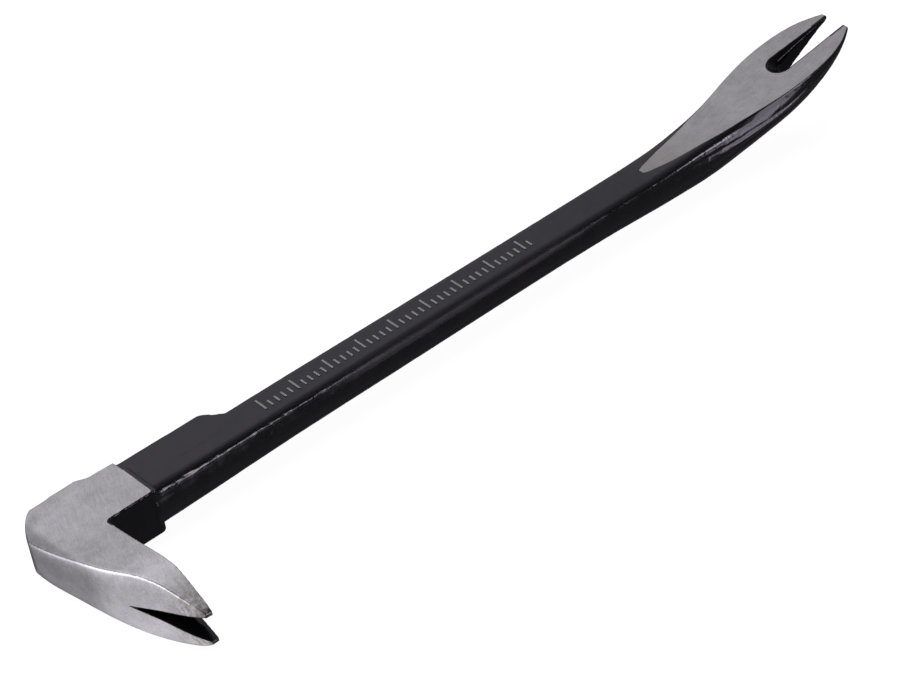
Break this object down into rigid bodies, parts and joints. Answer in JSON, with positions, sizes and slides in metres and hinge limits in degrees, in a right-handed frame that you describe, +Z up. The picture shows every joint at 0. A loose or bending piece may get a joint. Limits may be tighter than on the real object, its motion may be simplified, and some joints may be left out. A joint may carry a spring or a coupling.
{
  "type": "pry bar",
  "caption": "Small forged nail-puller pry bar with an L-shaped forked head, a straight shank and a flat forked claw, black enamel with bare ground ends.",
  "frame": {"origin": "middle of the underside of the tool's box, on the surface it lies on", "axes": "+X along the shank towards the straight claw, -Y the way the head's arm points, +Z up and square to the head's flat sides, the side that the straight claw curves to"},
  "size_m": [0.2526, 0.0604, 0.0226],
  "materials": {
    "ground_steel": "belt-ground bare steel with fine directional scratches",
    "black_enamel": "smooth semi-gloss black enamel",
    "slot_enamel": "glossy black enamel, thicker in the slots",
    "grey_print": "matt grey pad print"
  },
  "bodies": {
    "root": {"forged_steel_bar": "ground_steel", "shank_enamel": "black_enamel", "throat_enamel": "black_enamel", "head_slot_enamel": "slot_enamel", "claw_slot_enamel": "slot_enamel", "printed_scale": "grey_print"}
  },
  "joints": []
}
